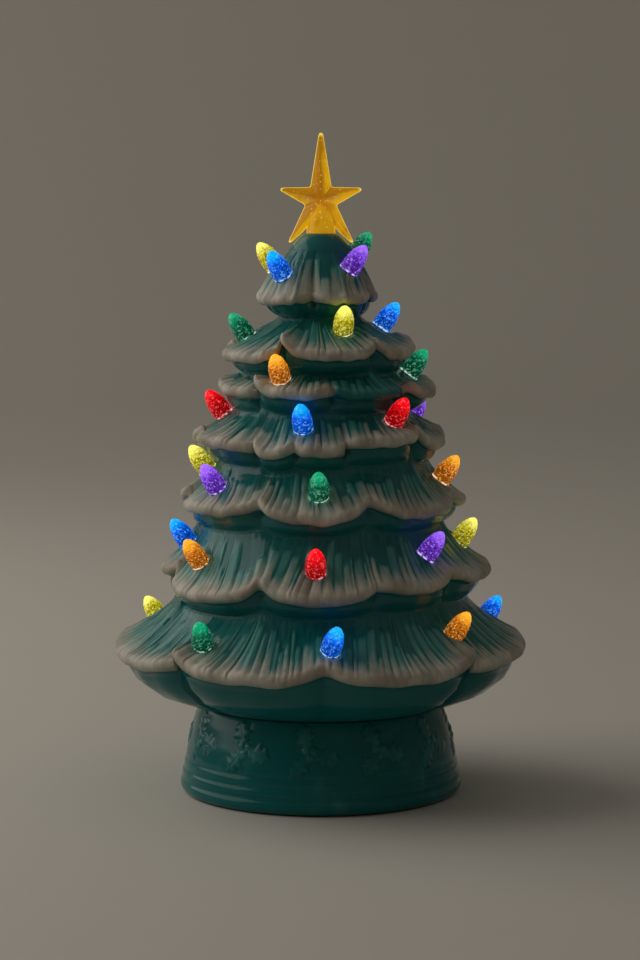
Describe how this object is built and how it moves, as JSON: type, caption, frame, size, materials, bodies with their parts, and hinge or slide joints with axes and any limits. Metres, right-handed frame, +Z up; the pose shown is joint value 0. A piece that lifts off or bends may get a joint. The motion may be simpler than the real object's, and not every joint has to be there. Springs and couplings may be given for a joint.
{
  "type": "ceramic christmas tree",
  "caption": "Hollow glazed ceramic tree with drooping bough tiers, see-through plastic bulbs and star, lifting off a flared base with a battery lamp.",
  "frame": {"origin": "on the ground under the middle of the object's box, which is the axis of crown and base to within a millimetre", "axes": "+Z up along the axis of the tree; the front, as pictured, faces -Y; +X is to the right seen from the front"},
  "size_m": [0.2213, 0.2216, 0.3556],
  "materials": {
    "green_glaze": "gloss green glaze, frosted grey-white on the bough rims",
    "soft_foot": "matte",
    "black_plastic": "fine texture",
    "white_plastic": "satin",
    "plated_steel": "nickel plated",
    "cell_wrap": "plain printed-free sleeve",
    "lead_cover": "soft covering",
    "board_green": "coated board",
    "led_yellow": "lit phosphor",
    "frosted_plastic": "frosted, light passes",
    "star_amber": "see-through amber",
    "bulb_yellow": "see-through, pebbled",
    "bulb_green": "see-through, pebbled",
    "bulb_blue": "see-through, pebbled",
    "bulb_orange": "see-through, pebbled",
    "bulb_red": "see-through, pebbled",
    "bulb_purple": "see-through, pebbled"
  },
  "bodies": {
    "base": {"base_shell": "green_glaze", "foot_pad": "soft_foot", "battery_housing": "black_plastic", "hinge_pin": "plated_steel", "cell_1": "cell_wrap", "cell_2": "cell_wrap", "cell_3": "cell_wrap", "contact_plates": "plated_steel", "contact_springs": "plated_steel", "switch_body": "black_plastic", "lamp_post": "white_plastic", "lamp_lead": "lead_cover", "led_board": "board_green", "leds": "led_yellow", "lamp_diffuser": "frosted_plastic"},
    "crown": {"tree_shell": "green_glaze", "bulb_g1": "bulb_yellow", "bulb_g2": "bulb_green", "bulb_g3": "bulb_blue", "bulb_g4": "bulb_orange", "bulb_g5": "bulb_blue", "bulb_g6": "bulb_red", "bulb_g7": "bulb_purple", "bulb_f1": "bulb_blue", "bulb_f2": "bulb_orange", "bulb_f3": "bulb_red", "bulb_f4": "bulb_purple", "bulb_f5": "bulb_yellow", "bulb_f6": "bulb_green", "bulb_f7": "bulb_orange", "bulb_e1": "bulb_yellow", "bulb_e2": "bulb_purple", "bulb_e3": "bulb_green", "bulb_e4": "bulb_orange", "bulb_e5": "bulb_red", "bulb_e6": "bulb_blue", "bulb_d1": "bulb_red", "bulb_d2": "bulb_blue", "bulb_d3": "bulb_red", "bulb_d4": "bulb_purple", "bulb_d5": "bulb_yellow", "bulb_d6": "bulb_green", "bulb_c1": "bulb_orange", "bulb_c2": "bulb_green", "bulb_c3": "bulb_blue", "bulb_c4": "bulb_red", "bulb_b1": "bulb_green", "bulb_b2": "bulb_yellow", "bulb_b3": "bulb_blue", "bulb_b4": "bulb_orange", "bulb_a1": "bulb_blue", "bulb_a2": "bulb_purple", "bulb_a3": "bulb_green", "bulb_a4": "bulb_yellow"},
    "star": {"star_topper": "star_amber"},
    "battery_door": {"battery_door": "black_plastic"},
    "switch": {"switch_knob": "white_plastic"}
  },
  "joints": [
    {"name": "tree_lift", "type": "slide", "parent": "base", "child": "crown", "axis": [0, 0, 1], "range_m": [0, 0.12]},
    {"name": "star_lift", "type": "slide", "parent": "crown", "child": "star", "axis": [0, 0, 1], "range_m": [0, 0.03]},
    {"name": "door_hinge", "type": "hinge", "parent": "base", "child": "battery_door", "pos_m": [0, 0.0247, 0.0065], "axis": [1, 0, 0], "range_deg": [0, 95]},
    {"name": "switch_slide", "type": "slide", "parent": "base", "child": "switch", "axis": [1, 0, 0], "range_m": [0, 0.005]}
  ]
}
